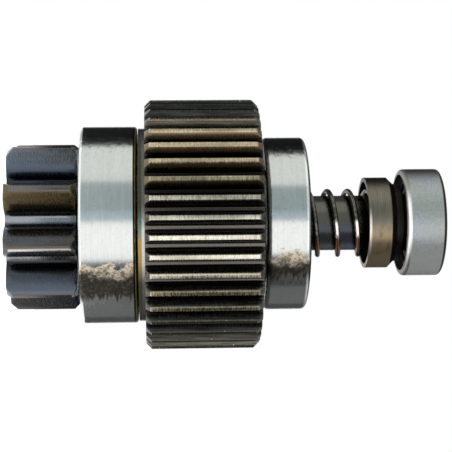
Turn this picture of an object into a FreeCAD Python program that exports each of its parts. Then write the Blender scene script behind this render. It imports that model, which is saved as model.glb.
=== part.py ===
import FreeCAD, Part
import os
import Sketcher
from fcgear import fcgear, involute

# Starter drive: a pinion on a shaft that slides through the splined sleeve of a roller
# clutch. The clutch gear around the sleeve is driven from outside, ball bearings stand at
# both its ends and at the end of the shaft, and a spring draws the pinion back.
# The frame stands on the pinion's front face, with +Z along the shaft.

doc = FreeCAD.newDocument("starter_drive")
dim = doc.addObject("Spreadsheet::Sheet", "dim")

# Driving dimensions in millimetres and degrees; gear coefficients are shares of the module
SIZES = [
    ("pressure_angle", 20, "pressure angle of both gears"),
    ("pinion_teeth", 9, "teeth of the pinion"),
    ("pinion_module", 3, "module of the pinion"),
    ("pinion_shift", 0.68, "profile shift of the pinion"),
    ("pinion_addendum", 0.82, "addendum of the pinion"),
    ("pinion_dedendum", 1.25, "dedendum of the pinion"),
    ("pinion_fillet", 0.3, "root fillet of the pinion"),
    ("pinion_angle", 4.8, "angle of the first pinion tooth"),
    ("pinion_width", 14.6, "face width of the pinion"),
    ("pinion_lead", 1.4, "chamfer at the pinion's front"),
    ("pinion_back", 1.1, "chamfer at the pinion's back"),
    ("centre_hole", 2.2, "mouth radius of the lathe centre in the pinion"),
    ("centre_depth", 3.4, "depth of the lathe centre"),
    ("guide_radius", 7, "shaft in front of and over the splines"),
    ("spline_teeth", 10, "splines of the shaft"),
    ("spline_root", 6.1, "radius of the shaft between its splines"),
    ("spline_front", 18.2, "from the pinion's back to the shaft splines"),
    ("spline_inset", 0.4, "shaft splines end inside the sleeve"),
    ("spline_play", 0.4, "half angle left free beside each spline"),
    ("shaft_radius", 5.9, "shaft behind the splines"),
    ("shaft_chamfer", 0.25, "chamfers of the shaft"),
    ("journal_length", 9.35, "shaft end that carries the end bearing"),
    ("fit", 0.02, "radial play of pressed seats in the model"),
    ("running", 0.05, "radial play of sliding and turning fits"),
    ("face_gap", 0.2, "axial gap between faces that turn past each other"),
    ("pinion_gap", 0.8, "from the pinion's back to the front bearing"),
    ("front_outer", 21, "radius over the front bearing"),
    ("front_bore", 10, "bore radius of the front bearing"),
    ("front_width", 11.8, "width of the front bearing"),
    ("front_pitch", 15.5, "radius of the front ball circle"),
    ("front_ball", 3.175, "ball radius of the front bearing"),
    ("front_balls", 9, "balls of the front bearing"),
    ("front_race", 0.8, "depth of the front ball grooves"),
    ("front_cage", 7.6, "width of the front cage"),
    ("front_round", 0.6, "corner radius of the front bearing"),
    ("rear_outer", 18.5, "radius over the rear bearing"),
    ("rear_bore", 10, "bore radius of the rear bearing"),
    ("rear_width", 9, "width of the rear bearing"),
    ("rear_pitch", 14.25, "radius of the rear ball circle"),
    ("rear_ball", 2.375, "ball radius of the rear bearing"),
    ("rear_balls", 11, "balls of the rear bearing"),
    ("rear_race", 0.65, "depth of the rear ball grooves"),
    ("rear_cage", 5.8, "width of the rear cage"),
    ("rear_round", 1, "corner radius of the rear bearing"),
    ("end_outer", 11.5, "radius over the end bearing"),
    ("end_bore", 4, "bore radius of the end bearing"),
    ("end_width", 8.4, "width of the end bearing"),
    ("end_pitch", 7.65, "radius of the end ball circle"),
    ("end_ball", 1.985, "ball radius of the end bearing"),
    ("end_balls", 8, "balls of the end bearing"),
    ("end_race", 0.5, "depth of the end ball grooves"),
    ("end_cage", 4.8, "width of the end cage"),
    ("end_round", 0.8, "corner radius of the end bearing"),
    ("end_recess", 1.15, "rim left outside the recesses in the end bearing's faces"),
    ("recess_depth", 1.5, "depth of those recesses"),
    ("groove_play", 0.04, "play of a ball in its groove"),
    ("pocket_play", 0.08, "play of a ball in its cage"),
    ("cage_wall", 1.1, "radial thickness of the cages"),
    ("shield_wall", 0.4, "thickness of the bearing shields"),
    ("shield_inset", 0.4, "shields below the bearing's faces"),
    ("shield_gap", 0.25, "free radius between shield and inner ring"),
    ("sleeve_proud", 0.2, "sleeve in front of the front bearing"),
    ("race_radius", 12.2, "roller track of the sleeve"),
    ("sleeve_step", 1.2, "shoulder behind the front bearing below the roller track"),
    ("stub_radius", 9.5, "rear end of the sleeve"),
    ("spline_relief", 0.7, "shaft splines longer than those in the sleeve"),
    ("boss_radius", 20.6, "rim in front of the gear teeth"),
    ("boss_height", 1.4, "height of the rim and thickness of the cover"),
    ("cover_radius", 19.2, "radius of the cover plate"),
    ("cover_clear", 0.4, "free radius between the sleeve's shoulder and the cover plate"),
    ("gear_teeth", 42, "teeth of the clutch gear"),
    ("gear_module", 1.2, "module of the clutch gear"),
    ("gear_shift", 0.2, "profile shift of the clutch gear"),
    ("gear_addendum", 1, "addendum of the clutch gear"),
    ("gear_dedendum", 1.25, "dedendum of the clutch gear"),
    ("gear_fillet", 0.3, "root fillet of the clutch gear"),
    ("gear_angle", 1.54, "angle of the first gear tooth"),
    ("gear_width", 23.9, "face width of the clutch gear"),
    ("gear_chamfer", 1.2, "chamfers at the ends of the gear teeth"),
    ("cam_gap", 0.4, "lands of the gear clear of the roller track"),
    ("roller_count", 5, "rollers of the clutch"),
    ("roller_radius", 2.75, "radius of a roller"),
    ("roller_length", 14, "length of a roller"),
    ("roller_chamfer", 0.3, "chamfers of a roller"),
    ("roller_play", 0.03, "play of a roller between track and ramp"),
    ("ramp_angle", 4, "slope of the ramps over the rollers"),
    ("roller_room", 0.5, "axial room at each end of a roller"),
    ("pocket_lead", 3.9, "pocket wall on the wedging side of a roller"),
    ("pocket_trail", 6.2, "pocket wall on the spring side of a roller"),
    ("leaf_height", 2.6, "radial height of a roller spring"),
    ("leaf_wall", 0.3, "thickness of a roller spring's strip"),
    ("leaf_length", 10, "axial length of a roller spring"),
    ("bush_wall", 1, "wall of the bush between sleeve and gear"),
    ("bush_back", 2.3, "wall of the gear behind the bush"),
    ("hub_shoulder", 11.6, "shoulder of the gear before the rear bearing"),
    ("shoulder_width", 1.05, "width of that shoulder"),
    ("hub_clear", 0.5, "free radius between the return spring and the gear's hub"),
    ("hub_recess", 0.25, "hub end below the rear bearing's face"),
    ("seat_wall", 0.8, "thickness of the spring seat"),
    ("spring_clear", 0.35, "free radius between the shaft and the return spring"),
    ("spring_wire", 1.15, "wire diameter of the return spring"),
    ("spring_pitch", 4.38, "pitch of the open coils"),
    ("spring_angle", -38, "angle of the wire at the spring's middle"),
    ("cup_clear", 1.45, "free radius between the return spring and the stopper cup"),
    ("cup_start", 61.25, "from the pinion's back to the cup's rim"),
    ("cup_length", 6, "length of the stopper cup"),
    ("cup_wall", 0.9, "wall of the stopper cup"),
    ("cup_floor", 2.4, "floor of the stopper cup"),
    ("cup_chamfer", 1.2, "chamfer at the cup's floor"),
    ("stop_wall", 1.35, "thickness of the stop clip"),
    ("stop_height", 2.45, "height of the stop clip above the shaft"),
    ("stop_depth", 0.9, "depth of the stop clip's groove"),
    ("end_seat", 0.4, "from the stop clip to the end bearing"),
    ("clip_wall", 0.8, "thickness of the end clip"),
    ("clip_height", 1.6, "height of the end clip above the bearing's bore"),
    ("clip_depth", 0.6, "depth of the end clip's groove"),
    ("clip_gap_angle", 60, "opening angle of both clips"),
    ("clip_angle", 120, "turn of both clips about the shaft"),
]

for row, (alias, number, meaning) in enumerate(SIZES, 1):
    dim.set(f"A{row}", meaning)
    dim.set(f"B{row}", str(number))
    dim.setAlias(f"B{row}", alias)
doc.recompute()

# Stations along the shaft
BACK = "dim.pinion_width"
FRONT = f"{BACK} + dim.pinion_gap"
FRONT_END = f"{FRONT} + dim.front_width"
COVER = f"{FRONT_END} + dim.face_gap"
GEAR = f"{COVER} + dim.boss_height"
POCKET_DEPTH = "(dim.roller_length + 2 * dim.roller_room)"
POCKET_END = f"{GEAR} + {POCKET_DEPTH}"
GEAR_END = f"{GEAR} + dim.gear_width"
REAR = f"{GEAR_END} + dim.shoulder_width"
REAR_END = f"{REAR} + dim.rear_width"
HUB_END = f"{REAR_END} - dim.hub_recess"
BUSH = f"{POCKET_END} + dim.face_gap"
BUSH_END = f"{GEAR_END} - dim.bush_back"
SLEEVE_END = BUSH_END
SPLINE = f"{BACK} + dim.spline_front"
SPLINE_END = f"{SLEEVE_END} - dim.spline_inset"
SPLINE_LENGTH = f"({SPLINE_END} - ({SPLINE}))"
SEAT_END = f"{SLEEVE_END} + dim.seat_wall"
CUP = f"{BACK} + dim.cup_start"
CUP_END = f"{CUP} + dim.cup_length"
CUP_INSIDE = f"{CUP_END} - dim.cup_floor"
STOP_END = f"{CUP_END} + dim.stop_wall"
END = f"{STOP_END} + dim.end_seat"
END_END = f"{END} + dim.end_width"
CLIP_END = f"{END_END} + dim.clip_wall"
SHAFT_END = f"{END} + dim.journal_length"

# Radii that several pieces share
PINION_TIP = "dim.pinion_module * (dim.pinion_teeth / 2 + dim.pinion_addendum + dim.pinion_shift)"
GEAR_TIP = "dim.gear_module * (dim.gear_teeth / 2 + dim.gear_addendum + dim.gear_shift)"
GUIDE_BORE = "dim.guide_radius + dim.running"
SHAFT_BORE = "dim.shaft_radius + dim.running"
ROLLER_CIRCLE = "dim.race_radius + dim.roller_radius + dim.roller_play"
BUSH_BORE = "dim.stub_radius + dim.running"
BUSH_SEAT = f"{BUSH_BORE} + dim.bush_wall"
COVER_BORE = "dim.race_radius - dim.sleeve_step + dim.cover_clear"
SPRING_OUTER = "dim.shaft_radius + dim.spring_clear + dim.spring_wire"
HUB_BORE = f"{SPRING_OUTER} + dim.hub_clear"
CUP_BORE = f"{SPRING_OUTER} + dim.cup_clear"
CUP_RADIUS = f"{CUP_BORE} + dim.cup_wall"
STOP_GROOVE = "dim.shaft_radius - dim.stop_depth"
CLIP_GROOVE = "dim.end_bore - dim.clip_depth"

TOUCH = 1e-4
nodes = []


def value(expression):
    """The number that an expression of the sheet gives."""
    return float(dim.evalExpression(expression))


def datum(body, role):
    """One of a body's own origin planes or axes."""
    return next(item for item in body.Origin.OriginFeatures if item.Role == role)


def node(label):
    """An empty body that becomes the sub-part of this name."""
    body = doc.addObject("PartDesign::Body", label)
    nodes.append(body)
    return body


def outline(body, name, role, corners, height="0"):
    """A closed outline on an origin plane, each corner held by distances from the sheet."""
    sketch = body.newObject("Sketcher::SketchObject", name)
    sketch.AttachmentSupport = [(datum(body, role), "")]
    sketch.MapMode = "FlatFace"
    sketch.setExpression("AttachmentOffset.Base.z", height)
    points = [FreeCAD.Vector(value(x), value(y), 0) for x, y in corners]
    following = points[1:] + points[:1]
    for here, there in zip(points, following):
        sketch.addGeometry(Part.LineSegment(here, there), False)
    for line in range(len(points)):
        after = (line + 1) % len(points)
        sketch.addConstraint(Sketcher.Constraint("Coincident", line, 2, after, 1))
    for line, (x, y) in enumerate(corners):
        for kind, place, number in (("DistanceX", x, points[line].x), ("DistanceY", y, points[line].y)):
            index = sketch.addConstraint(Sketcher.Constraint(kind, -1, 1, line, 1, number))
            sketch.setExpression(f"Constraints[{index}]", place)
    return sketch


def turn(body, name, corners, angle="360"):
    """Turns a section, given as radius and height, about the shaft's axis."""
    section = outline(body, f"{name}_section", "XZ_Plane", corners)
    feature = body.newObject("PartDesign::Revolution", name)
    feature.Profile = section
    feature.ReferenceAxis = (section, ["V_Axis"])
    feature.setExpression("Angle", angle)
    return feature


def turned(label, corners, angle="360"):
    """A sub-part made by one turned section."""
    body = node(label)
    turn(body, f"{label}_turning", corners, angle)
    return body


def tube(label, inner, outer, start, end, angle="360"):
    """A turned sub-part with a plain rectangular section."""
    return turned(label, [(inner, start), (outer, start), (outer, end), (inner, end)], angle)


def clip(label, groove, outer, start, end):
    """An open ring that is sprung into a groove of the shaft."""
    body = tube(label, f"{groove} + dim.fit", outer, start, end, "360 - dim.clip_gap_angle")
    body.setExpression("Placement.Rotation.Angle", "dim.clip_angle * 1 deg")


def ball_groove(body, pitch, height, radius):
    """Turns a round groove whose centre lies on the ball circle."""
    sketch = body.newObject("Sketcher::SketchObject", f"{body.Name}_groove_section")
    sketch.AttachmentSupport = [(datum(body, "XZ_Plane"), "")]
    sketch.MapMode = "FlatFace"
    centre = FreeCAD.Vector(value(pitch), value(height), 0)
    sketch.addGeometry(Part.Circle(centre, FreeCAD.Vector(0, 0, 1), value(radius)), False)
    held = (
        (Sketcher.Constraint("DistanceX", -1, 1, 0, 3, centre.x), pitch),
        (Sketcher.Constraint("DistanceY", -1, 1, 0, 3, centre.y), height),
        (Sketcher.Constraint("Radius", 0, value(radius)), radius),
    )
    for constraint, expression in held:
        index = sketch.addConstraint(constraint)
        sketch.setExpression(f"Constraints[{index}]", expression)
    groove = body.newObject("PartDesign::Groove", f"{body.Name}_groove")
    groove.Profile = sketch
    groove.ReferenceAxis = (sketch, ["V_Axis"])
    groove.Angle = 360


def round_corners(body, at_radius, radius):
    """Rounds the circular edges that lie at one radius."""
    doc.recompute()
    base = body.Tip
    names = []
    for number, edge in enumerate(base.Shape.Edges, 1):
        if isinstance(edge.Curve, Part.Circle) and abs(edge.Curve.Radius - value(at_radius)) < TOUCH:
            names.append(f"Edge{number}")
    fillet = body.newObject("PartDesign::Fillet", f"{body.Name}_rounding")
    fillet.Base = (base, names)
    fillet.setExpression("Radius", radius)


def repeat(body, feature, count):
    """Repeats a feature evenly about the shaft's axis."""
    pattern = body.newObject("PartDesign::PolarPattern", f"{feature.Name}_pattern")
    pattern.Originals = [feature]
    pattern.Axis = (datum(body, "Z_Axis"), [""])
    pattern.Angle = 360
    pattern.setExpression("Occurrences", count)
    body.Tip = pattern


def ball(body, radius, pitch, height):
    """One ball on the ball circle."""
    feature = body.newObject("PartDesign::AdditiveSphere", f"{body.Name}_first")
    feature.setExpression("Radius", radius)
    feature.setExpression("Placement.Base.x", pitch)
    feature.setExpression("Placement.Base.z", height)
    return feature


def ball_hole(body, radius, pitch, height):
    """One hole drilled through a cage from outside, for a ball."""
    drill = body.newObject("PartDesign::SubtractiveCylinder", f"{body.Name}_hole")
    outwards = FreeCAD.Rotation(FreeCAD.Vector(0, 0, 1), FreeCAD.Vector(1, 0, 0))
    drill.Placement = FreeCAD.Placement(FreeCAD.Vector(), outwards)
    drill.setExpression("Radius", radius)
    drill.setExpression("Height", "2 * dim.cage_wall")
    drill.setExpression("Placement.Base.x", f"{pitch} - dim.cage_wall")
    drill.setExpression("Placement.Base.z", height)
    return drill


def pocket(body, name, section, depth):
    """Cuts a section away from its plane towards the shaft's end, and checks that it cut."""
    doc.recompute()
    before = body.Shape.Volume
    cut = body.newObject("PartDesign::Pocket", name)
    cut.Profile = section
    cut.Reversed = True
    cut.setExpression("Length", depth)
    doc.recompute()
    if body.Shape.Volume >= before - TOUCH:
        raise RuntimeError(f"{name} cuts nothing")
    return cut


def recessed_ring(label, inner, outer, start, end):
    """An outer ring without shields, with a recess in each face."""
    recess = f"{outer} - dim.end_recess"
    corners = [
        (inner, f"{start} + dim.recess_depth"),
        (recess, f"{start} + dim.recess_depth"),
        (recess, start),
        (outer, start),
        (outer, end),
        (recess, end),
        (recess, f"{end} - dim.recess_depth"),
        (inner, f"{end} - dim.recess_depth"),
    ]
    return turned(label, corners)


def ball_bearing(name, start, shielded):
    """The rings, balls, cage and shields of the bearing whose sizes bear this name."""
    outer, bore, width, pitch, size, count, race, cage, corner = (
        f"dim.{name}_{word}"
        for word in ("outer", "bore", "width", "pitch", "ball", "balls", "race", "cage", "round")
    )
    end = f"{start} + {width}"
    middle = f"{start} + {width} / 2"
    outer_land = f"{pitch} + {size} - {race}"
    inner_land = f"{pitch} - {size} + {race}"
    groove = f"{size} + dim.groove_play"

    if shielded:
        outer_ring = tube(f"{name}_bearing_outer", outer_land, outer, start, end)
    else:
        outer_ring = recessed_ring(f"{name}_bearing_outer", outer_land, outer, start, end)
    ball_groove(outer_ring, pitch, middle, groove)
    round_corners(outer_ring, outer, corner)

    inner_ring = tube(f"{name}_bearing_inner", bore, inner_land, start, end)
    ball_groove(inner_ring, pitch, middle, groove)

    half_wall = "dim.cage_wall / 2"
    ring = tube(
        f"{name}_bearing_cage",
        f"{pitch} - {half_wall}",
        f"{pitch} + {half_wall}",
        f"{middle} - {cage} / 2",
        f"{middle} + {cage} / 2",
    )
    repeat(ring, ball_hole(ring, f"{size} + dim.pocket_play", pitch, middle), count)

    ball_set = node(f"{name}_bearing_balls")
    ball_set.AllowCompound = True
    repeat(ball_set, ball(ball_set, size, pitch, middle), count)

    if shielded:
        shield_inner = f"{inner_land} + dim.shield_gap"
        shield_outer = f"{outer_land} - dim.fit"
        near = f"{start} + dim.shield_inset"
        far = f"{end} - dim.shield_inset"
        tube(f"{name}_shield_near", shield_inner, shield_outer, near, f"{near} + dim.shield_wall")
        tube(f"{name}_shield_far", shield_inner, shield_outer, f"{far} - dim.shield_wall", far)


def gear_outline(name):
    """The closed involute outline of the gear whose sizes bear this name."""
    builder = fcgear.FCWireBuilder()
    involute.CreateExternalGear(
        builder,
        value(f"dim.{name}_module"),
        int(value(f"dim.{name}_teeth")),
        value("dim.pressure_angle"),
        split=True,
        addCoeff=value(f"dim.{name}_addendum"),
        dedCoeff=value(f"dim.{name}_dedendum"),
        filletCoeff=value(f"dim.{name}_fillet"),
        shiftCoeff=value(f"dim.{name}_shift"),
    )
    form = doc.addObject("Part::Feature", f"{name}_outline")
    form.Shape = Part.Wire([edge.toShape() for edge in builder.wire])
    form.setExpression("Placement.Rotation.Angle", f"dim.{name}_angle * 1 deg")
    return form


def toothed(label, name, blank, end):
    """Cuts gear teeth into a turned blank: what is common to the blank and a long toothed bar."""
    bar = doc.addObject("Part::Extrusion", f"{name}_bar")
    bar.Base = gear_outline(name)
    bar.DirMode = "Custom"
    bar.Dir = FreeCAD.Vector(0, 0, 1)
    bar.Solid = True
    bar.setExpression("LengthFwd", end)
    gear = doc.addObject("Part::MultiCommon", label)
    gear.Shapes = [blank, bar]
    nodes.append(gear)
    return gear


def spline_flanks(half_angle, inner, outer):
    """The four corners of a spline, or of the gap between two, on the X axis."""
    return [
        (f"({inner}) * cos({half_angle})", f"-({inner}) * sin({half_angle})"),
        (f"({outer}) * cos({half_angle})", f"-({outer}) * sin({half_angle})"),
        (f"({outer}) * cos({half_angle})", f"({outer}) * sin({half_angle})"),
        (f"({inner}) * cos({half_angle})", f"({inner}) * sin({half_angle})"),
    ]


def pinion_shaft():
    """The pinion and its shaft, one forging with splines and clip grooves."""
    body = doc.addObject("PartDesign::Body", "pinion_blank")
    seat = "dim.end_bore - dim.fit"
    bevel = "dim.shaft_chamfer"
    corners = [
        ("0", "dim.centre_depth"),
        ("dim.centre_hole", "0"),
        (f"{PINION_TIP} - dim.pinion_lead", "0"),
        (PINION_TIP, "dim.pinion_lead"),
        (PINION_TIP, f"{BACK} - dim.pinion_back"),
        (f"{PINION_TIP} - dim.pinion_back", BACK),
        ("dim.guide_radius", BACK),
        ("dim.guide_radius", SPLINE_END),
        ("dim.shaft_radius", SPLINE_END),
        ("dim.shaft_radius", f"{CUP_END} - dim.running"),
        (STOP_GROOVE, f"{CUP_END} - dim.running"),
        (STOP_GROOVE, f"{STOP_END} + dim.running"),
        ("dim.shaft_radius", f"{STOP_END} + dim.running"),
        ("dim.shaft_radius", f"{END} - {bevel}"),
        (f"dim.shaft_radius - {bevel}", END),
        (seat, END),
        (seat, f"{END_END} - dim.running"),
        (CLIP_GROOVE, f"{END_END} - dim.running"),
        (CLIP_GROOVE, f"{CLIP_END} + dim.running"),
        (seat, f"{CLIP_END} + dim.running"),
        (seat, SHAFT_END),
        ("0", SHAFT_END),
    ]
    turn(body, "pinion_turning", corners)
    gap_angle = "90 / dim.spline_teeth * 1 deg"
    gap = spline_flanks(gap_angle, "dim.spline_root", "dim.guide_radius * 1.2")
    section = outline(body, "spline_gap", "XY_Plane", gap, SPLINE)
    repeat(body, pocket(body, "spline_cut", section, SPLINE_LENGTH), "dim.spline_teeth")
    toothed("pinion_shaft", "pinion", body, SHAFT_END)


def drive_sleeve():
    """The clutch's inner race, which turns the shaft through splines in its bore."""
    journal = "dim.front_bore - dim.fit"
    front = f"{FRONT} - dim.sleeve_proud"
    race_front = f"{GEAR} + dim.face_gap"
    corners = [
        (GUIDE_BORE, front),
        (journal, front),
        (journal, FRONT_END),
        ("dim.race_radius - dim.sleeve_step", FRONT_END),
        ("dim.race_radius - dim.sleeve_step", race_front),
        ("dim.race_radius", race_front),
        ("dim.race_radius", f"{POCKET_END} - dim.face_gap"),
        ("dim.stub_radius", f"{POCKET_END} - dim.face_gap"),
        ("dim.stub_radius", SLEEVE_END),
        (GUIDE_BORE, SLEEVE_END),
    ]
    body = turned("drive_sleeve", corners)
    tooth_angle = "(90 / dim.spline_teeth - dim.spline_play) * 1 deg"
    into_wall = "(dim.guide_radius + dim.stub_radius) / 2"
    tooth = spline_flanks(tooth_angle, "dim.spline_root + dim.running", into_wall)
    section = outline(body, "sleeve_spline_section", "XY_Plane", tooth, f"{SPLINE} + dim.face_gap")
    pad = body.newObject("PartDesign::Pad", "sleeve_spline_tooth")
    pad.Profile = section
    pad.setExpression("Length", f"{SPLINE_LENGTH} - dim.spline_relief")
    repeat(body, pad, "dim.spline_teeth")


def clutch_gear():
    """The driven gear, which is also the clutch's outer race and the rear bearing's hub."""
    body = doc.addObject("PartDesign::Body", "gear_blank")
    cam_bore = "dim.race_radius + dim.cam_gap"
    hub = "dim.rear_bore - dim.fit"
    corners = [
        ("dim.cover_radius + dim.fit", COVER),
        ("dim.boss_radius", COVER),
        ("dim.boss_radius", GEAR),
        (f"{GEAR_TIP} - dim.gear_chamfer", GEAR),
        (GEAR_TIP, f"{GEAR} + dim.gear_chamfer"),
        (GEAR_TIP, f"{GEAR_END} - dim.gear_chamfer"),
        (f"{GEAR_TIP} - dim.gear_chamfer", GEAR_END),
        ("dim.hub_shoulder", GEAR_END),
        ("dim.hub_shoulder", REAR),
        (hub, REAR),
        (hub, HUB_END),
        (HUB_BORE, HUB_END),
        (HUB_BORE, BUSH_END),
        (f"{BUSH_SEAT} + dim.fit", BUSH_END),
        (f"{BUSH_SEAT} + dim.fit", POCKET_END),
        (cam_bore, POCKET_END),
        (cam_bore, GEAR),
        ("dim.cover_radius + dim.fit", GEAR),
    ]
    turn(body, "gear_turning", corners)
    over_roller = f"({ROLLER_CIRCLE}) + (dim.roller_radius + dim.roller_play) / cos(dim.ramp_angle * 1 deg)"
    slope = "tan(dim.ramp_angle * 1 deg)"
    in_bore = "dim.race_radius / 2"
    corners = [
        (in_bore, "-dim.pocket_lead"),
        (f"{over_roller} - dim.pocket_lead * {slope}", "-dim.pocket_lead"),
        (f"{over_roller} + dim.pocket_trail * {slope}", "dim.pocket_trail"),
        (in_bore, "dim.pocket_trail"),
    ]
    section = outline(body, "roller_pocket_section", "XY_Plane", corners, GEAR)
    repeat(body, pocket(body, "roller_pocket", section, POCKET_DEPTH), "dim.roller_count")
    toothed("clutch_gear", "gear", body, REAR_END)


def roller(number, angle):
    """One clutch roller, turned about its own axis and set on the roller circle."""
    radius = "dim.roller_radius"
    bevel = "dim.roller_chamfer"
    start = f"{GEAR} + dim.roller_room"
    corners = [
        ("0", start),
        (f"{radius} - {bevel}", start),
        (radius, f"{start} + {bevel}"),
        (radius, f"{start} + dim.roller_length - {bevel}"),
        (f"{radius} - {bevel}", f"{start} + dim.roller_length"),
        ("0", f"{start} + dim.roller_length"),
    ]
    body = turned(f"roller_{number}", corners)
    body.setExpression("Placement.Base.x", f"({ROLLER_CIRCLE}) * cos({angle})")
    body.setExpression("Placement.Base.y", f"({ROLLER_CIRCLE}) * sin({angle})")


def roller_spring(number, angle):
    """One folded strip spring between a roller and the wall of its pocket."""
    folds = 5
    start = "dim.roller_radius + dim.roller_play"
    step = f"((dim.pocket_trail - dim.roller_play - ({start})) / {folds - 1})"
    half_wall = f"dim.leaf_wall / 2 * sqrt(dim.leaf_height ^ 2 + {step} ^ 2) / {step}"
    inner_side = []
    outer_side = []
    for fold in range(folds):
        side = "-" if fold % 2 == 0 else "+"
        radial = f"{ROLLER_CIRCLE} {side} dim.leaf_height / 2"
        along = f"{start} + {step} * {fold}"
        inner_side.append((f"{radial} - {half_wall}", along))
        outer_side.append((f"{radial} + {half_wall}", along))
    body = node(f"roller_spring_{number}")
    height = f"{GEAR} + ({POCKET_DEPTH} - dim.leaf_length) / 2"
    corners = inner_side + outer_side[::-1]
    section = outline(body, f"leaf_section_{number}", "XY_Plane", corners, height)
    strip = body.newObject("PartDesign::Pad", f"leaf_{number}")
    strip.Profile = section
    strip.setExpression("Length", "dim.leaf_length")
    body.setExpression("Placement.Rotation.Angle", angle)


def return_spring():
    """The compression spring: open coils between closed and ground ends."""
    wire = value("dim.spring_wire")
    radius = value(SPRING_OUTER) - wire / 2
    start = value(SEAT_END)
    end = value(CUP_INSIDE)
    pitch = value("dim.spring_pitch")
    closed = wire * 1.04
    half = (end - start) / 2 - wire / 4
    blend = 0.35
    steps_per_turn = 12

    # The wire rises by the open pitch up to the blend, and by the closed pitch for its last turn
    end_turns = 1.0
    open_turns = (half - closed * (end_turns + blend / 2) - pitch * blend / 2) / pitch
    turns = open_turns + blend + end_turns

    def rise(turn_count):
        beyond = min(max(turn_count - open_turns, 0), blend)
        closed_part = max(turn_count - open_turns - blend, 0)
        blended = pitch * beyond + (closed - pitch) * beyond * beyond / (2 * blend)
        return pitch * min(turn_count, open_turns) + blended + closed * closed_part

    steps = round(2 * turns * steps_per_turn)
    points = []
    for step in range(steps + 1):
        along = turns * (2 * step / steps - 1)
        height = (start + end) / 2 + (rise(abs(along)) if along > 0 else -rise(abs(along)))
        around = FreeCAD.Rotation(FreeCAD.Vector(0, 0, 1), value("dim.spring_angle") + 360 * along)
        points.append(around.multVec(FreeCAD.Vector(radius, 0, height)))
    path = Part.BSplineCurve()
    path.interpolate(points)
    sweep = Part.BRepOffsetAPI.MakePipeShell(Part.Wire(path.toShape()))
    sweep.setFrenetMode(True)
    direction = path.tangent(path.FirstParameter)[0]
    sweep.add(Part.Wire(Part.Circle(points[0], direction, wire / 2).toShape()))
    sweep.build()
    sweep.makeSolid()
    room = Part.makeCylinder(radius + wire, end - start, FreeCAD.Vector(0, 0, start))
    spring = doc.addObject("Part::Feature", "return_spring")
    spring.Shape = sweep.shape().common(room).Solids[0]
    spring.Placement = FreeCAD.Placement()
    nodes.append(spring)


def stopper_cup():
    """The cup that holds the spring's rear end and rests on the stop clip."""
    corners = [
        (SHAFT_BORE, CUP_INSIDE),
        (CUP_BORE, CUP_INSIDE),
        (CUP_BORE, CUP),
        (CUP_RADIUS, CUP),
        (CUP_RADIUS, f"{CUP_END} - dim.cup_chamfer"),
        (f"{CUP_RADIUS} - dim.cup_chamfer", CUP_END),
        (SHAFT_BORE, CUP_END),
    ]
    turned("stopper_cup", corners)


def write_parts():
    """Checks every object and each sub-part's shape, then writes one file for each sub-part."""
    doc.recompute()
    for item in doc.Objects:
        if "Invalid" in item.State or "Error" in item.State:
            raise RuntimeError(f"{item.Label} failed: {item.State}")
    for item in nodes:
        if item.Shape.isNull() or not item.Shape.isValid():
            raise RuntimeError(f"{item.Label} has no valid shape")
    os.makedirs("parts", exist_ok=True)
    for item in nodes:
        item.Shape.exportStep(f"parts/{item.Label}.step")


pinion_shaft()
drive_sleeve()
clutch_gear()
tube("clutch_cover", COVER_BORE, "dim.cover_radius", COVER, GEAR)
tube("gear_bush", BUSH_BORE, BUSH_SEAT, BUSH, BUSH_END)
for number in range(int(value("dim.roller_count"))):
    pocket_angle = f"{number} * 360 / dim.roller_count * 1 deg"
    roller(number + 1, pocket_angle)
    roller_spring(number + 1, pocket_angle)
ball_bearing("front", FRONT, True)
ball_bearing("rear", REAR, True)
ball_bearing("end", END, False)
tube("spring_seat", SHAFT_BORE, f"{HUB_BORE} - dim.face_gap", SLEEVE_END, SEAT_END)
return_spring()
stopper_cup()
clip("stop_clip", STOP_GROOVE, "dim.shaft_radius + dim.stop_height", CUP_END, STOP_END)
clip("end_clip", CLIP_GROOVE, "dim.end_bore + dim.clip_height", END_END, CLIP_END)
write_parts()
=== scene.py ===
import math

import bpy
from bpy.props import FloatProperty, FloatVectorProperty, PointerProperty
from bpy.types import Operator, Panel, PropertyGroup
from mathutils import Matrix, Vector


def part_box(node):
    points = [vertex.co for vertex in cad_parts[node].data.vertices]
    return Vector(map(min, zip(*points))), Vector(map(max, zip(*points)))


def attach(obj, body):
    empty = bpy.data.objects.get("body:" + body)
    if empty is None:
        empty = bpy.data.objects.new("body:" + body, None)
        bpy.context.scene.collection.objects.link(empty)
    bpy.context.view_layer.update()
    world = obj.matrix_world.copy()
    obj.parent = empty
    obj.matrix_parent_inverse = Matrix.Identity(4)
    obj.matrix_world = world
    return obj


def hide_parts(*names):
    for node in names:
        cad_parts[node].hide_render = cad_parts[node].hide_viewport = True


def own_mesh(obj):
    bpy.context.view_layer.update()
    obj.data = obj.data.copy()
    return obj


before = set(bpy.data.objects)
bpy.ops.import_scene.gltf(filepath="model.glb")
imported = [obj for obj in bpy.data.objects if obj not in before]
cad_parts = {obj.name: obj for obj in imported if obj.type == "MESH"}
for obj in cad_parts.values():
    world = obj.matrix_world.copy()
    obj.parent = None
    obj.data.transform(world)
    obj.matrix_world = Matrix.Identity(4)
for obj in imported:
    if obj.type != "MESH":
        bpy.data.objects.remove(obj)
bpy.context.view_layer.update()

bl_info = {
    "name": "Starter drive finish",
    "version": (1, 0, 0),
    "blender": (4, 5, 0),
    "location": "View3D > Sidebar > Starter drive",
    "description": "Finishes the pinion, clutch gear, bearings and spring of a starter drive",
    "category": "Object",
}

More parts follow.
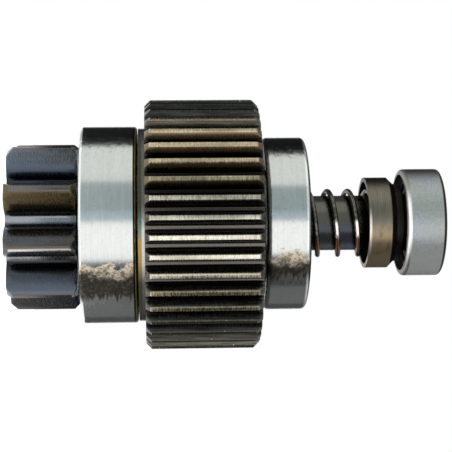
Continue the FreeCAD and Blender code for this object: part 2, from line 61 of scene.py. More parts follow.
MM = 0.001
GEAR_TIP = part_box("clutch_gear")[1][1]
PINION_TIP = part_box("pinion_shaft")[1][0]
SPRING_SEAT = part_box("return_spring")[0][2]
SLIDE = 12 * MM
GEAR_FACE = 28.8 * MM
CUP_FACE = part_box("stopper_cup")[0][2]
CUP_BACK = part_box("stopper_cup")[1][2]
END_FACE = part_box("end_bearing_outer")[0][2]
END_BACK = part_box("end_bearing_outer")[1][2]
END_BORE = 10.35 * MM
CUP_BORE = 8.85 * MM
FRONT_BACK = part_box("front_bearing_outer")[1][2]
REAR_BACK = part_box("rear_bearing_outer")[1][2]
PINION_TEETH_END = 14.85 * MM
PINION_ROOT = 12.2 * MM
PINION_FLANK = 16.4 * MM
BARE_SHAFT = 30.5 * MM

WHITE = (1, 1, 1)
# The near-black below is painted shade along the back edges of the front and rear rings.
RIM_SHADE = (0.006, 0.006, 0.005)
GOLD_OIL = (0.42, 0.33, 0.10)

FLOOR_GAP = 0.5 * MM
FLOOR_RADIUS = 200 * MM
BACKDROP_RADIUS = 480 * MM
BACKDROP_PLACE = (0, 1500 * MM, 90 * MM)
SHAFT_MIDDLE = 45 * MM
LAMP_DISTANCE = 600 * MM
LAMP_LENGTH = 1200 * MM
# Each lamp's name, angle and width in degrees, strength and colour.
SOFTBOXES = (
    ("key", -19, 46, 1.3, WHITE),
    ("key_edge", 11, 12, 0.62, (0.72, 0.9, 1.0)),
    ("between", 34, 32, 0.43, (0.8, 0.98, 0.99)),
    ("top_panel", 76.5, 53, 0.92, (0.97, 1.0, 0.96)),
    ("low", -112, 46, 0.14, (0.95, 1.0, 0.97)),
    ("bottom", -155, 36, 0.05, (0.92, 0.95, 1.0)),
)


class StarterWear(PropertyGroup):
    pinion_edge: FloatProperty(
        name="Pinion edges",
        description="Worn width of the pinion's edges",
        default=0.22 * MM,
        unit="LENGTH",
    )
    gear_edge: FloatProperty(
        name="Gear edges",
        description="Worn width of the gear's edges",
        default=0.1 * MM,
        unit="LENGTH",
    )


class StarterColours(PropertyGroup):
    ring: FloatVectorProperty(
        name="Rings",
        description="Ground bearing steel",
        default=(0.66, 0.67, 0.66),
        subtype="COLOR",
    )
    gear: FloatVectorProperty(
        name="Gear",
        description="Hardened steel of the clutch gear",
        default=(0.50, 0.41, 0.28),
        subtype="COLOR",
    )
    pinion: FloatVectorProperty(
        name="Pinion",
        description="Dark steel of the pinion",
        default=(0.105, 0.105, 0.105),
        subtype="COLOR",
    )
    cup: FloatVectorProperty(
        name="Cup",
        description="Turned steel of the stopper cup",
        default=(0.17, 0.155, 0.125),
        subtype="COLOR",
    )
    dirt: FloatVectorProperty(
        name="Dirt",
        description="Dried grease and rust on the rings",
        default=(0.21, 0.18, 0.14),
        subtype="COLOR",
    )
    # Near-black that stands in for shade: painted shade in the tooth gaps and roots, and in dark
    # bands across the pinion's teeth.
    grease: FloatVectorProperty(
        name="Grease",
        description="Black grease in the tooth gaps",
        default=(0.012, 0.010, 0.009),
        subtype="COLOR",
    )


class StarterStage(PropertyGroup):
    distance: FloatProperty(
        name="Distance",
        description="From the shaft's axis to the camera",
        default=300 * MM,
        unit="LENGTH",
    )
    height: FloatProperty(
        name="Height",
        description="Height of the camera",
        default=31.2 * MM,
        unit="LENGTH",
    )
    frame_width: FloatProperty(
        name="Frame",
        description="Width of the picture at the shaft's axis",
        default=97.4 * MM,
        unit="LENGTH",
    )
    aim: FloatVectorProperty(
        name="Aim",
        description="Point of the shaft's plane at the middle of the picture",
        default=(0.45 * MM, 0, 46.1 * MM),
        subtype="TRANSLATION",
    )
    roll: FloatProperty(
        name="Roll",
        description="Lean of the shaft in the picture",
        default=math.radians(-0.53),
        subtype="ANGLE",
    )


class Finish:
    """A procedural material that is built from nodes in the order in which they are asked for."""

    def __init__(self, name, metallic=1.0, roughness=0.3):
        self.material = bpy.data.materials.new(name)
        self.material.use_nodes = True
        self.tree = self.material.node_tree
        self.shader = self.tree.nodes["Principled BSDF"]
        self.shader.inputs["Metallic"].default_value = metallic
        self.shader.inputs["Roughness"].default_value = roughness
        self.place = self.tree.nodes.new("ShaderNodeTexCoord").outputs["Object"]
        split = self.tree.nodes.new("ShaderNodeSeparateXYZ")
        self.tree.links.new(self.place, split.inputs[0])
        self.x, self.y, self.z = split.outputs

    def give(self, socket, item):
        """Sets a socket to a number or a colour, or links it to another node."""
        if isinstance(item, bpy.types.NodeSocket):
            self.tree.links.new(item, socket)
        elif isinstance(item, (int, float)):
            socket.default_value = item
        else:
            socket.default_value = (*item, 1)

    def sum(self, kind, first, second=0.0, third=0.0):
        """One step of arithmetic."""
        node = self.tree.nodes.new("ShaderNodeMath")
        node.operation = kind
        for socket, item in zip(node.inputs, (first, second, third)):
            self.give(socket, item)
        return node.outputs[0]

    def both(self, first, second):
        """The product of two values, such as the overlap of two masks."""
        return self.sum("MULTIPLY", first, second)

    def ragged(self, noise, reach):
        """The angle about the shaft, moved to and fro by noise."""
        return self.sum("MULTIPLY_ADD", noise, reach, self.around())

    def radius(self):
        """Distance from the shaft's axis in metres."""
        squares = self.sum("MULTIPLY_ADD", self.x, self.x, self.both(self.y, self.y))
        return self.sum("SQRT", squares)

    def around(self):
        """Angle about the shaft in degrees, from -180 to 180, with 0 at -Y and 90 at -X."""
        turn = self.sum("ARCTAN2", self.both(self.x, -1.0), self.both(self.y, -1.0))
        return self.both(turn, 180 / math.pi)

    def noise(self, scale, detail=3.0, roughness=0.55, shift=0.0):
        """Noise with its own fineness along X, Y and Z, per metre."""
        mapping = self.tree.nodes.new("ShaderNodeMapping")
        mapping.inputs["Scale"].default_value = scale
        mapping.inputs["Location"].default_value = (shift, shift, shift)
        node = self.tree.nodes.new("ShaderNodeTexNoise")
        node.inputs["Scale"].default_value = 1
        node.inputs["Detail"].default_value = detail
        node.inputs["Roughness"].default_value = roughness
        self.tree.links.new(self.place, mapping.inputs["Vector"])
        self.tree.links.new(mapping.outputs["Vector"], node.inputs["Vector"])
        return node.outputs["Fac"]

    def span(self, item, low, high, to_low=0.0, to_high=1.0):
        """Maps a span of values onto another, with soft ends."""
        node = self.tree.nodes.new("ShaderNodeMapRange")
        node.interpolation_type = "SMOOTHSTEP"
        for socket, number in zip(node.inputs, (item, low, high, to_low, to_high)):
            self.give(socket, number)
        return node.outputs[0]

    def window(self, item, low, high, soft):
        """1 between two values and 0 outside them."""
        rise = self.span(item, low - soft, low + soft)
        fall = self.span(item, high - soft, high + soft, 1.0, 0.0)
        return self.both(rise, fall)

    def mix(self, share, first, second):
        """A blend of two colours."""
        node = self.tree.nodes.new("ShaderNodeMix")
        node.data_type = "RGBA"
        self.give(node.inputs[0], share)
        self.give(node.inputs[6], first)
        self.give(node.inputs[7], second)
        return node.outputs[2]

    def tint(self, colour, zone, share, other):
        """Blends another colour into part of the surface."""
        return self.mix(self.both(zone, share), colour, other)

    def bump(self, height, distance):
        """Lets the light see a height, in metres, that the mesh doesn't have."""
        node = self.tree.nodes.new("ShaderNodeBump")
        node.inputs["Strength"].default_value = 1
        node.inputs["Distance"].default_value = distance
        self.tree.links.new(height, node.inputs["Height"])
        self.tree.links.new(node.outputs["Normal"], self.shader.inputs["Normal"])

    def finish(self, colour, roughness):
        """Ends the material with its colour and roughness."""
        self.give(self.shader.inputs["Base Color"], colour)
        self.give(self.shader.inputs["Roughness"], roughness)
        return self.material


def tone(colour, factor):
    """The colour made darker or lighter, up to full white."""
    return tuple(min(channel * factor, 1.0) for channel in colour)


def soiled(steel, colours, colour, roughness, low, high):
    """Caked grease between two angles: pale and lumpy above, with dark streaks below."""
    patches = steel.noise((330, 330, 330), detail=5, roughness=0.65, shift=6.0)
    speckle = steel.noise((1300, 1300, 1300), detail=8, roughness=0.85, shift=3.0)
    streaks = steel.noise((150, 150, 1500), detail=4, shift=1.0)
    upper = steel.ragged(patches, 26.0)
    lower = steel.ragged(streaks, 22.0)
    below = steel.span(upper, high + 12, high + 15, 1.0, 0.0)
    bank = steel.both(below, steel.span(lower, low + 5, low + 15))
    level = steel.span(upper, high + 4, high + 12, 1.0, 0.0)
    soil = steel.mix(level, tone(colours.dirt, 4.0), tone(colours.dirt, 0.3))
    soil = steel.mix(steel.span(speckle, 0.46, 0.58, 0.0, 0.75), soil, tone(colours.dirt, 0.2))
    cover = steel.both(bank, steel.span(speckle, 0.3, 0.5, 0.7, 1.0))
    colour = steel.mix(cover, colour, soil)
    return colour, steel.sum("MULTIPLY_ADD", cover, 0.35, roughness)


def ground_ring(name, colours, dirt_and_shade=None, rims=()):
    """Ground bearing steel with faint streaks; where dirt is given, dirt and painted shade over the
    top; and coloured rims where they are given, mostly painted shade.
    """
    steel = Finish(name)
    streaks = steel.noise((180, 180, 9000), detail=5)
    broad = steel.noise((60, 60, 1400), detail=3, shift=4.0)
    grain = steel.noise((1500, 1500, 1500), detail=5, roughness=0.75, shift=9.0)
    pale, dark = tone(colours.ring, 1.04), tone(colours.ring, 0.96)
    colour = steel.mix(steel.span(streaks, 0.3, 0.7), dark, pale)
    colour = steel.mix(steel.span(grain, 0.45, 0.75, 0.0, 0.4), colour, tone(colours.ring, 0.72))
    colour = steel.mix(steel.span(broad, 0.35, 0.75, 0.0, 0.3), colour, (0.54, 0.57, 0.54))
    roughness = steel.span(streaks, 0.3, 0.75, 0.18, 0.21)
    if dirt_and_shade:
        colour, roughness = soiled(steel, colours, colour, roughness, *dirt_and_shade)
        # Painted shade: the top of the ring is darkened to near-black, with a ragged edge.
        patches = steel.noise((600, 600, 600), detail=8, roughness=0.8, shift=2.0)
        around = steel.ragged(patches, 60.0)
        above = steel.span(around, 78, 90, 0.0, 0.8)
        shade = steel.both(above, steel.span(around, 123, 140, 1.0, 0.0))
        colour = steel.mix(shade, colour, (0.02, 0.02, 0.018))
    for low, high, tint in rims:
        colour = steel.mix(steel.window(steel.z, low, high, 0.05 * MM), colour, tint)
    steel.bump(streaks, 0.004 * MM)
    return steel.finish(colour, roughness)


def satin_ring(name, colours):
    """Blasted steel of the end bearing's outer ring, painted lighter below and darker on top as
    light and shade, with a painted highlight on its turned front edge and painted shade in the
    bore.
    """
    steel = Finish(name)
    grain = steel.noise((2200, 2200, 2200), detail=5, roughness=0.7)
    broad = steel.noise((160, 160, 260), detail=3, shift=4.0)
    dark, pale = tone(colours.ring, 0.45), tone(colours.ring, 0.68)
    colour = steel.mix(steel.span(grain, 0.35, 0.65), dark, pale)
    colour = steel.mix(steel.span(broad, 0.38, 0.62, 0.0, 0.5), colour, (0.36, 0.40, 0.34))
    colour = steel.mix(steel.span(broad, 0.62, 0.4, 0.0, 0.35), colour, (0.36, 0.40, 0.50))
    around = steel.around()
    # Painted light: the lower side is made lighter.
    below = steel.window(around, -110, -32, 10)
    colour = steel.tint(colour, below, 0.75, tone(colours.ring, 1.15))
    # Painted shade: the top is darkened.
    above = steel.window(around, 64, 108, 12)
    colour = steel.tint(colour, above, 0.85, (0.05, 0.05, 0.045))
    # Painted highlight on the front edge where it faces the lamps; the rest of that edge is darker.
    edge = steel.span(steel.z, END_FACE + 0.85 * MM, END_FACE + 1.05 * MM, 1.0, 0.0)
    edge_highlight = steel.mix(steel.window(around, -38, 28, 14), (0.30, 0.29, 0.27), (0.97, 0.95, 0.93))
    colour = steel.mix(edge, colour, edge_highlight)
    # Painted shade in the bore.
    bore = steel.span(steel.radius(), END_BORE - 0.15 * MM, END_BORE + 0.15 * MM, 1.0, 0.0)
    colour = steel.mix(bore, colour, (0.03, 0.03, 0.028))
    rim = steel.window(steel.z, END_BACK - 0.7 * MM, END_BACK - 0.15 * MM, 0.1 * MM)
    colour = steel.mix(rim, colour, (0.03, 0.03, 0.03))
    steel.bump(grain, 0.01 * MM)
    return steel.finish(colour, steel.span(grain, 0.3, 0.7, 0.42, 0.52))


def boss_sheen(steel, noise):
    """Dark rim in front of the gear's teeth, with a painted gold and green reflection and a painted
    highlight on its edge along one side, and painted shade on the lower side.
    """
    around = steel.ragged(noise, 12.0)
    edge = steel.span(steel.z, GEAR_FACE - 0.75 * MM, GEAR_FACE - 0.55 * MM)
    colour = steel.mix(edge, (0.04, 0.04, 0.03), (0.08, 0.08, 0.07))
    # Painted shade on the lower side.
    colour = steel.tint(colour, steel.window(around, -100, -42, 10), 0.6, (0.02, 0.02, 0.015))
    # Painted reflection in gold and green along one side, and a painted highlight on the edge.
    sheen = steel.mix(steel.span(around, -6, 4), (0.30, 0.20, 0.07), (0.10, 0.19, 0.155))
    sheen = steel.mix(edge, sheen, (0.48, 0.45, 0.42))
    return steel.mix(steel.window(around, -22, 8, 9), colour, sheen)


def gear_metal(name, colours):
    """Tooth lands with a bronze tint and nicks, a painted highlight in the middle and painted shade
    above and below, over dark flanks and gap floors: painted shade deep in the gaps, a painted
    brown reflection on the upper flanks and a painted highlight on the floors in front.
    """
    steel = Finish(name)
    radius = steel.radius()
    scratches = steel.noise((700, 700, 3000), detail=5, roughness=0.65)
    along = steel.noise((2500, 2500, 160), detail=4, shift=2.0)
    flank = steel.mix(steel.span(along, 0.3, 0.7), (0.035, 0.034, 0.03), (0.14, 0.135, 0.125))
    around = steel.around()
    # Painted shade: the flanks fade to near-black deep in the tooth gaps.
    depth = steel.span(radius, GEAR_TIP - 2.4 * MM, GEAR_TIP - 1.2 * MM)
    flank = steel.mix(depth, colours.grease, flank)
    # Painted reflection: a brown tint on the outer flanks along the upper side.
    crown = steel.span(radius, GEAR_TIP - 1.7 * MM, GEAR_TIP - MM)
    brown_reflection = steel.both(steel.window(around, 14, 50, 6), crown)
    flank = steel.tint(flank, brown_reflection, 0.85, (0.16, 0.12, 0.07))
    # Painted highlight on the gap floors across the front.
    root = steel.span(radius, GEAR_TIP - 2.6 * MM, GEAR_TIP - 2.4 * MM, 1.0, 0.0)
    floor_highlight = steel.both(steel.window(around, -42, 6, 6), root)
    flank = steel.tint(flank, floor_highlight, 0.9, (0.13, 0.12, 0.105))
    dark, pale = tone(colours.gear, 0.6), tone(colours.gear, 1.25)
    land = steel.mix(steel.span(scratches, 0.3, 0.7), dark, pale)
    # Painted highlight: the lands are made pale in the middle, in patches.
    patchiness = steel.span(scratches, 0.35, 0.6, 0.35, 0.9)
    bright = steel.both(steel.window(around, -24, 12, 6), patchiness)
    land = steel.mix(bright, land, (0.80, 0.78, 0.68))
    patches = steel.noise((220, 220, 60), detail=2, shift=7.0)
    land = steel.mix(steel.span(patches, 0.45, 0.65, 0.0, 0.55), land, tone(colours.gear, 0.4))
    # Painted shade: the lands are darkened on the top and on the lower side.
    above, below = steel.window(around, 52, 104, 8), steel.window(around, -104, -44, 9)
    land = steel.tint(land, steel.sum("MAXIMUM", above, below), 0.8, (0.06, 0.06, 0.045))
    nicks = steel.noise((1500, 1500, 1500), detail=2, shift=4.0)
    land = steel.mix(steel.span(nicks, 0.7, 0.74, 0.0, 0.9), land, (0.95, 0.95, 0.8))
    tips = steel.span(radius, GEAR_TIP - 0.35 * MM, GEAR_TIP - 0.12 * MM)
    colour = steel.mix(tips, flank, land)
    # Painted shade: the whole gear is darkened further at the top and in a band below.
    above, below = steel.window(around, 54, 110, 8), steel.window(around, -68, -46, 7)
    colour = steel.tint(colour, steel.sum("MAXIMUM", above, below), 0.6, (0.012, 0.013, 0.012))
    faces = steel.span(radius, GEAR_TIP - 3.6 * MM, GEAR_TIP - 3.1 * MM, 1.0, 0.0)
    cut = steel.mix(steel.span(scratches, 0.35, 0.65), (0.07, 0.068, 0.06), (0.13, 0.125, 0.11))
    colour = steel.mix(faces, colour, cut)
    boss = steel.span(steel.z, GEAR_FACE - 0.1 * MM, GEAR_FACE, 1.0, 0.0)
    colour = steel.mix(boss, colour, boss_sheen(steel, scratches))
    steel.bump(scratches, 0.03 * MM)
    return steel.finish(colour, steel.span(scratches, 0.3, 0.7, 0.2, 0.34))


def pinion_metal(name, colours):
    """Dark steel with painted reflections in coloured bands across the teeth, a painted highlight
    on one tooth tip, painted shade in the roots and in narrow bands, and a painted reflection and
    painted shade on the shaft.
    """
    steel = Finish(name)
    radius = steel.radius()
    lines = steel.noise((1400, 1400, 5000), detail=4)
    clouds = steel.noise((160, 160, 90), detail=3, shift=5.0)
    dark, pale = tone(colours.pinion, 0.75), tone(colours.pinion, 1.2)
    colour = steel.mix(steel.span(lines, 0.3, 0.7), dark, pale)
    colour = steel.mix(steel.span(clouds, 0.4, 0.65, 0.0, 0.6), colour, (0.11, 0.14, 0.19))
    toothed = steel.span(
        steel.z, PINION_TEETH_END - 0.15 * MM, PINION_TEETH_END + 0.15 * MM, 1.0, 0.0
    )
    blur = steel.noise((500, 500, 160), detail=4, shift=8.0)
    around = steel.around()
    blurred = steel.ragged(blur, 10.0)
    # Painted reflections: brown, blue and grey bands across the teeth, set by angle.
    tints = (
        (12, 40, (0.10, 0.07, 0.03), 0.9),
        (40, 54, (0.03, 0.065, 0.15), 0.9),
        (54, 62, (0.07, 0.10, 0.15), 0.6),
        (3, 12, (0.20, 0.23, 0.28), 0.7),
        (-57, -40, (0.14, 0.18, 0.24), 0.6),
    )
    for low, high, tint, share in tints:
        band = steel.both(steel.window(blurred, low, high, 4.0), toothed)
        colour = steel.tint(colour, band, share, tint)
    shaft = steel.span(steel.z, BARE_SHAFT - 0.5 * MM, BARE_SHAFT + 0.5 * MM)
    # Painted reflection: an olive tint on the shaft near the front.
    olive = steel.both(shaft, steel.span(blurred, -4, 14))
    colour = steel.tint(colour, olive, 0.7, (0.09, 0.085, 0.06))
    # Painted shade: a near-black band over the front and lower front of the shaft.
    dark_band = steel.both(shaft, steel.window(around, -50, 4, 8))
    colour = steel.tint(colour, dark_band, 0.65, (0.012, 0.014, 0.018))
    tips = steel.span(radius, PINION_TIP - 0.4 * MM, PINION_TIP - 0.1 * MM)
    # Painted highlight on the tip land of the one tooth that faces the key lamp; the other tips
    # keep the dark steel.
    crest = steel.window(around, -19.5, -15.5, 0.8)
    land = steel.mix(crest, (0.115, 0.105, 0.10), (0.62, 0.56, 0.52))
    colour = steel.mix(tips, colour, land)
    # Painted shade in the tooth roots.
    root = steel.span(radius, PINION_ROOT, PINION_FLANK, 1.0, 0.0)
    colour = steel.tint(colour, steel.both(root, toothed), 0.75, colours.grease)
    # Painted highlights in light grey and painted shade in near-black, in narrow bands across the
    # teeth, set by angle.
    streaks = (
        (3, 10, (0.30, 0.32, 0.35), 0.75),
        (-37, -31, (0.34, 0.33, 0.34), 0.7),
        (-14, -4, colours.grease, 0.4),
        (-52, -39, colours.grease, 0.5),
        (-100, -68, colours.grease, 0.45),
    )
    for low, high, tint, share in streaks:
        band = steel.both(steel.window(around, low, high, 2.0), toothed)
        colour = steel.tint(colour, band, share, tint)
    steel.bump(lines, 0.02 * MM)
    return steel.finish(colour, steel.span(lines, 0.3, 0.7, 0.17, 0.3))


def turned_metal(name, colour, roughness=(0.25, 0.38)):
    """Turned steel with fine rings around the shaft."""
    steel = Finish(name)
    rings = steel.noise((120, 120, 12000), detail=4)
    mottle = steel.noise((500, 500, 900), detail=4, shift=3.0)
    metal = steel.mix(steel.span(rings, 0.3, 0.7), tone(colour, 0.7), tone(colour, 1.3))
    steel.bump(rings, 0.02 * MM)
    return steel.finish(metal, steel.span(mottle, 0.3, 0.7, *roughness))


def spring_wire(name):
    """Oiled spring wire, black, with a painted highlight along one side and a painted coppery
    reflection below it.
    """
    steel = Finish(name)
    mottle = steel.noise((1500, 1500, 1500), detail=4)
    around = steel.ragged(mottle, 14.0)
    colour = steel.mix(steel.span(mottle, 0.3, 0.7), (0.06, 0.055, 0.05), (0.16, 0.145, 0.13))
    # Painted highlight along one side of the wire, from 15.5 mm past the seat onwards.
    worn = steel.span(steel.z, SPRING_SEAT + 15.5 * MM, SPRING_SEAT + 17 * MM)
    line = steel.both(steel.window(around, -20, 10, 4.0), worn)
    colour = steel.mix(line, colour, (0.85, 0.76, 0.70))
    # Painted reflection: a coppery band below the highlight.
    colour = steel.mix(steel.window(around, -50, -20, 5.0), colour, (0.20, 0.11, 0.06))
    return steel.finish(colour, steel.span(mottle, 0.3, 0.7, 0.14, 0.22))


def cup_metal(name, colours):
    """Turned steel of the cup: fine rings, a rusty mottle, a painted highlight that makes the lower
    half a lighter tan, painted shade on top, a painted highlight on the front rim, and painted
    shade at the back end and in the bore.
    """
    steel = Finish(name)
    rings = steel.noise((120, 120, 12000), detail=4)
    mottle = steel.noise((500, 500, 900), detail=4, shift=3.0)
    around = steel.ragged(mottle, 16.0)
    dark, pale = tone(colours.cup, 0.7), tone(colours.cup, 1.3)
    colour = steel.mix(steel.span(rings, 0.3, 0.7), dark, pale)
    # Painted highlight: the lower half is a lighter tan.
    colour = steel.tint(colour, steel.window(around, -100, -1, 13), 0.8, (0.36, 0.27, 0.16))
    colour = steel.mix(steel.span(mottle, 0.5, 0.7, 0.0, 0.4), colour, (0.20, 0.13, 0.065))
    # Painted shade over the top.
    colour = steel.tint(colour, steel.window(around, 69, 110, 9), 0.9, (0.02, 0.02, 0.016))
    # Painted highlight on the front rim where it faces the lamps.
    rim = steel.span(steel.z, CUP_FACE + 0.35 * MM, CUP_FACE + 0.6 * MM, 1.0, 0.0)
    colour = steel.tint(colour, rim, steel.window(around, -34, 20, 10), (0.75, 0.66, 0.58))
    # Painted shade at the back end of the cup.
    back = steel.span(steel.z, CUP_BACK - 1.3 * MM, CUP_BACK - 1.1 * MM)
    colour = steel.mix(back, colour, (0.03, 0.025, 0.02))
    # Painted shade in the bore.
    inside = steel.span(steel.radius(), CUP_BORE - 0.15 * MM, CUP_BORE + 0.15 * MM, 1.0, 0.0)
    colour = steel.mix(inside, colour, (0.03, 0.028, 0.022))
    steel.bump(rings, 0.02 * MM)
    return steel.finish(colour, steel.span(mottle, 0.3, 0.7, 0.3, 0.42))


def plain_metal(name, colour, roughness=(0.2, 0.32), scale=1500):
    """Bare metal with a light mottle."""
    steel = Finish(name)
    mottle = steel.noise((scale, scale, scale), detail=4)
    metal = steel.mix(steel.span(mottle, 0.3, 0.7), tone(colour, 0.75), tone(colour, 1.2))
    return steel.finish(metal, steel.span(mottle, 0.3, 0.7, *roughness))


def clad(material, *names):
    """Gives CAD nodes a material."""
    for name in names:
        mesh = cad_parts[name].data
        mesh.materials.clear()
        mesh.materials.append(material)


def select_only(item):
    """Selects one object and makes it the active one."""
    bpy.ops.object.select_all(action="DESELECT")
    item.select_set(True)
    bpy.context.view_layer.objects.active = item


def worn_copy(node, body, material, width=0.0, angle=30):
    """Copies a CAD node, merges it, wears its edges round and puts it in the node's place."""
    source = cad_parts[node]
    piece = bpy.data.objects.new(f"{node}_worn", source.data.copy())
    bpy.context.scene.collection.objects.link(piece)
    select_only(piece)
    bpy.ops.object.mode_set(mode="EDIT")
    bpy.ops.mesh.select_all(action="SELECT")
    bpy.ops.mesh.remove_doubles(threshold=0.001 * MM)
    if width:
        bpy.ops.mesh.dissolve_limited(angle_limit=math.radians(0.5))
    bpy.ops.object.mode_set(mode="OBJECT")
    if width:
        bevel = piece.modifiers.new("wear", "BEVEL")
        bevel.width = width
        bevel.segments = 2
        bevel.limit_method = "ANGLE"
        bevel.angle_limit = math.radians(angle)
        bpy.ops.object.modifier_apply(modifier=bevel.name)
    bpy.ops.object.shade_smooth_by_angle(angle=math.radians(angle))
    piece.data.materials.clear()
    piece.data.materials.append(material)
    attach(piece, body)
    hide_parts(node)
    return piece


class STARTER_OT_pinion(Operator):
    """Wears the pinion's edges and gives the shaft its dark steel"""

    bl_idname = "starter.pinion"
    bl_label = "Finish the pinion and shaft"

    def execute(self, context):
        scene = context.scene
        metal = pinion_metal("pinion_steel", scene.starter_colours)
        worn_copy("pinion_shaft", "pinion", metal, scene.starter_wear.pinion_edge)
        return {"FINISHED"}


class STARTER_OT_gear(Operator):
    """Wears the clutch gear's edges and finishes it and its cover"""

    bl_idname = "starter.gear"
    bl_label = "Finish the clutch gear"

    def execute(self, context):
        scene = context.scene
        metal = gear_metal("gear_steel", scene.starter_colours)
        worn_copy("clutch_gear", "gear", metal, scene.starter_wear.gear_edge)
        clad(turned_metal("cover_steel", (0.35, 0.34, 0.32)), "clutch_cover")
        return {"FINISHED"}


class STARTER_OT_rings(Operator):
    """Finishes the outer rings of the three bearings"""

    bl_idname = "starter.rings"
    bl_label = "Finish the bearing rings"

    def execute(self, context):
        colours = context.scene.starter_colours
        # Front ring's back edge, next to the gear: a band of painted shade with a gold line in it.
        front_rims = (
            (FRONT_BACK - 0.8 * MM, FRONT_BACK + 0.1 * MM, RIM_SHADE),
            (FRONT_BACK - 0.45 * MM, FRONT_BACK - 0.25 * MM, GOLD_OIL),
        )
        front = ground_ring("front_ring_steel", colours, (-46, -24), front_rims)
        clad(front, "front_bearing_outer")
        # Rear ring's back edge: a band of painted shade.
        rear_rims = ((REAR_BACK - 0.4 * MM, REAR_BACK - 0.1 * MM, RIM_SHADE),)
        rear = ground_ring("rear_ring_steel", colours, (-39, -21), rear_rims)
        clad(rear, "rear_bearing_outer")
        clad(satin_ring("end_ring_steel", colours), "end_bearing_outer")
        return {"FINISHED"}


class STARTER_OT_bearing_insides(Operator):
    """Finishes the inner rings, cages, balls and shields of the bearings"""

    bl_idname = "starter.bearing_insides"
    bl_label = "Finish the bearing insides"

    def execute(self, context):
        ring = turned_metal("ring_steel", (0.5, 0.5, 0.5), (0.15, 0.25))
        cage = plain_metal("cage_steel", (0.30, 0.29, 0.27), (0.3, 0.45))
        ball = plain_metal("ball_steel", (0.95, 0.93, 0.86), (0.55, 0.62), 600)
        shield = turned_metal("shield_steel", (0.4, 0.4, 0.4))
        for bearing in ("front", "rear"):
            clad(ring, f"{bearing}_bearing_inner")
            clad(cage, f"{bearing}_bearing_cage")
            clad(shield, f"{bearing}_shield_near", f"{bearing}_shield_far")
        clad(ball, "front_bearing_balls", "rear_bearing_balls", "end_bearing_balls")
        # Painted shade inside the end bearing: its cage and inner ring are near-black.
        clad(plain_metal("end_cage_steel", (0.02, 0.019, 0.018), (0.4, 0.5)), "end_bearing_cage")
        clad(turned_metal("inner_shade_steel", (0.03, 0.022, 0.015), (0.3, 0.4)), "end_bearing_inner")
        return {"FINISHED"}


class STARTER_OT_clutch_insides(Operator):
    """Finishes the sleeve, rollers, roller springs, bush and spring seat"""

    bl_idname = "starter.clutch_insides"
    bl_label = "Finish the clutch insides"

    def execute(self, context):
        clad(turned_metal("sleeve_steel", (0.34, 0.34, 0.35)), "drive_sleeve")
        bronze = turned_metal("bronze", (0.55, 0.38, 0.20))
        clad(bronze, "gear_bush", "spring_seat")
        roller = plain_metal("roller_steel", (0.6, 0.6, 0.6), (0.08, 0.16))
        strip = plain_metal("strip_steel", (0.45, 0.44, 0.42))
        for number in range(1, 6):
            clad(roller, f"roller_{number}")
            clad(strip, f"roller_spring_{number}")
        return {"FINISHED"}


class STARTER_OT_spring(Operator):
    """Makes the return spring a smooth copy of the wire that moves with the sleeve"""

    bl_idname = "starter.spring"
    bl_label = "Make the return spring"

    def execute(self, context):
        metal = spring_wire("spring_steel")
        piece = worn_copy("return_spring", "sleeve", metal, angle=60)
        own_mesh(piece)
        return {"FINISHED"}


class STARTER_OT_cup(Operator):
    """Finishes the stopper cup and the clips"""

    bl_idname = "starter.cup"
    bl_label = "Finish the stopper cup and clips"

    def execute(self, context):
        colours = context.scene.starter_colours
        clad(cup_metal("cup_steel", colours), "stopper_cup")
        clad(plain_metal("clip_steel", (0.02, 0.018, 0.016), (0.4, 0.5)), "stop_clip", "end_clip")
        return {"FINISHED"}


def turn_towards(item, place, target, roll=0.0):
    """Puts a camera or lamp at a place, with the picture's right along the shaft."""
    back = (place - target).normalized()
    right = Vector((0, 0, 1))
    right = (right - right.dot(back) * back).normalized()
    up = back.cross(right)
    basis = Matrix((right, up, back)).transposed()
    rolled = basis @ Matrix.Rotation(roll, 3, "Z")
    item.matrix_world = Matrix.Translation(place) @ rolled.to_4x4()


def softbox(name, angle, width, strength, colour):
    """A soft lamp along the shaft. Its angle is counted from the camera, upwards in the picture."""
    lamp = bpy.data.lights.new(name, "AREA")
    lamp.shape = "RECTANGLE"
    lamp.size = LAMP_LENGTH
    lamp.size_y = 2 * LAMP_DISTANCE * math.tan(math.radians(width / 2))
    lamp.energy = strength * lamp.size * lamp.size_y * math.pi
    lamp.color = colour
    item = bpy.data.objects.new(name, lamp)
    bpy.context.scene.collection.objects.link(item)
    target = Vector((0, 0, SHAFT_MIDDLE))
    turn = math.radians(angle)
    away = Vector((-math.sin(turn), -math.cos(turn), 0))
    turn_towards(item, target + LAMP_DISTANCE * away, target)


def emitter(name, strength):
    """A plain glowing white for the backdrop."""
    card = Finish(name, metallic=0.0, roughness=1.0)
    card.shader.inputs["Base Color"].default_value = (0, 0, 0, 1)
    card.shader.inputs["Specular IOR Level"].default_value = 0
    card.shader.inputs["Emission Color"].default_value = (1, 1, 1, 1)
    card.shader.inputs["Emission Strength"].default_value = strength
    return card.material


def studio_world():
    """A dim room around the object, light overhead and underfoot."""
    world = bpy.data.worlds.new("studio")
    world.use_nodes = True
    tree = world.node_tree
    split = tree.nodes.new("ShaderNodeSeparateXYZ")
    tree.links.new(tree.nodes.new("ShaderNodeTexCoord").outputs["Generated"], split.inputs[0])
    slope = tree.nodes.new("ShaderNodeMath")
    slope.operation = "ABSOLUTE"
    tree.links.new(split.outputs[2], slope.inputs[0])
    light = tree.nodes.new("ShaderNodeMapRange")
    light.interpolation_type = "SMOOTHSTEP"
    for socket, number in zip(list(light.inputs)[1:5], (0.15, 0.5, 0.03, 0.55)):
        socket.default_value = number
    tree.links.new(slope.outputs[0], light.inputs[0])
    room = tree.nodes["Background"]
    room.inputs["Color"].default_value = (0.96, 0.98, 1.0, 1)
    tree.links.new(light.outputs[0], room.inputs["Strength"])
    return world


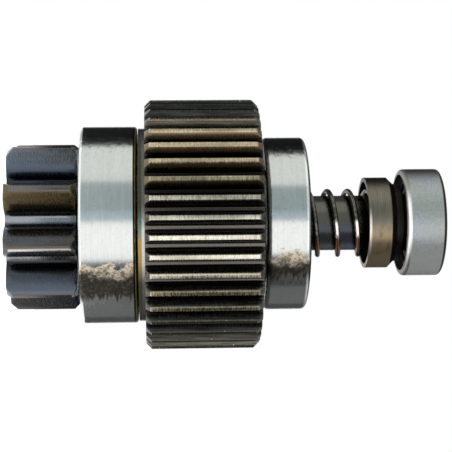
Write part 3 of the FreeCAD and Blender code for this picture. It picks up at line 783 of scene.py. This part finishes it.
class STARTER_OT_stage(Operator):
    """Makes the floor, backdrop, lamps and camera"""

    bl_idname = "starter.stage"
    bl_label = "Set the stage"

    def execute(self, context):
        sizes = context.scene.starter_stage
        camera = bpy.data.objects.new("camera", bpy.data.cameras.new("camera"))
        context.scene.collection.objects.link(camera)
        context.scene.camera = camera
        aim = Vector(sizes.aim)
        place = Vector((aim.x, -sizes.distance, sizes.height))
        turn_towards(camera, place, aim, sizes.roll)
        camera.data.lens = camera.data.sensor_width * (place - aim).length / sizes.frame_width
        camera.data.clip_start = 10 * MM
        camera.data.clip_end = 10

        context.scene.world = studio_world()
        context.scene.view_settings.view_transform = "Standard"

        for lamp in SOFTBOXES:
            softbox(*lamp)

        bpy.ops.object.select_all(action="DESELECT")
        bpy.ops.mesh.primitive_circle_add(
            vertices=96, radius=FLOOR_RADIUS, fill_type="NGON", location=(0, 0, -SLIDE - FLOOR_GAP)
        )
        floor = context.object
        floor.name = "floor"
        ground = Finish("floor_white", metallic=0.0, roughness=0.9)
        ground.shader.inputs["Emission Color"].default_value = (1, 1, 1, 1)
        ground.shader.inputs["Emission Strength"].default_value = 0.85
        floor.data.materials.append(ground.finish((0.85, 0.85, 0.85), 0.9))
        bpy.ops.mesh.primitive_circle_add(
            vertices=64,
            radius=BACKDROP_RADIUS,
            fill_type="NGON",
            location=BACKDROP_PLACE,
            rotation=(math.pi / 2, 0, 0),
        )
        backdrop = context.object
        backdrop.name = "backdrop"
        backdrop.data.materials.append(emitter("backdrop_white", 1.0))
        return {"FINISHED"}


class STARTER_PT_panel(Panel):
    bl_label = "Starter drive"
    bl_idname = "STARTER_PT_panel"
    bl_space_type = "VIEW_3D"
    bl_region_type = "UI"
    bl_category = "Starter drive"

    def draw(self, context):
        for operator in OPERATORS:
            self.layout.operator(operator.bl_idname)


SETTINGS = {
    "starter_wear": StarterWear,
    "starter_colours": StarterColours,
    "starter_stage": StarterStage,
}
OPERATORS = (
    STARTER_OT_pinion,
    STARTER_OT_gear,
    STARTER_OT_rings,
    STARTER_OT_bearing_insides,
    STARTER_OT_clutch_insides,
    STARTER_OT_spring,
    STARTER_OT_cup,
    STARTER_OT_stage,
)


def register():
    for item in (*SETTINGS.values(), *OPERATORS, STARTER_PT_panel):
        bpy.utils.register_class(item)
    for name, settings in SETTINGS.items():
        setattr(bpy.types.Scene, name, PointerProperty(type=settings))


def unregister():
    for name in SETTINGS:
        delattr(bpy.types.Scene, name)
    for item in (STARTER_PT_panel, *reversed(OPERATORS), *SETTINGS.values()):
        bpy.utils.unregister_class(item)


def main():
    register()
    bpy.ops.starter.pinion()
    bpy.ops.starter.gear()
    bpy.ops.starter.rings()
    bpy.ops.starter.bearing_insides()
    bpy.ops.starter.clutch_insides()
    bpy.ops.starter.spring()
    bpy.ops.starter.cup()
    bpy.ops.starter.stage()


if __name__ == "__main__":
    main()
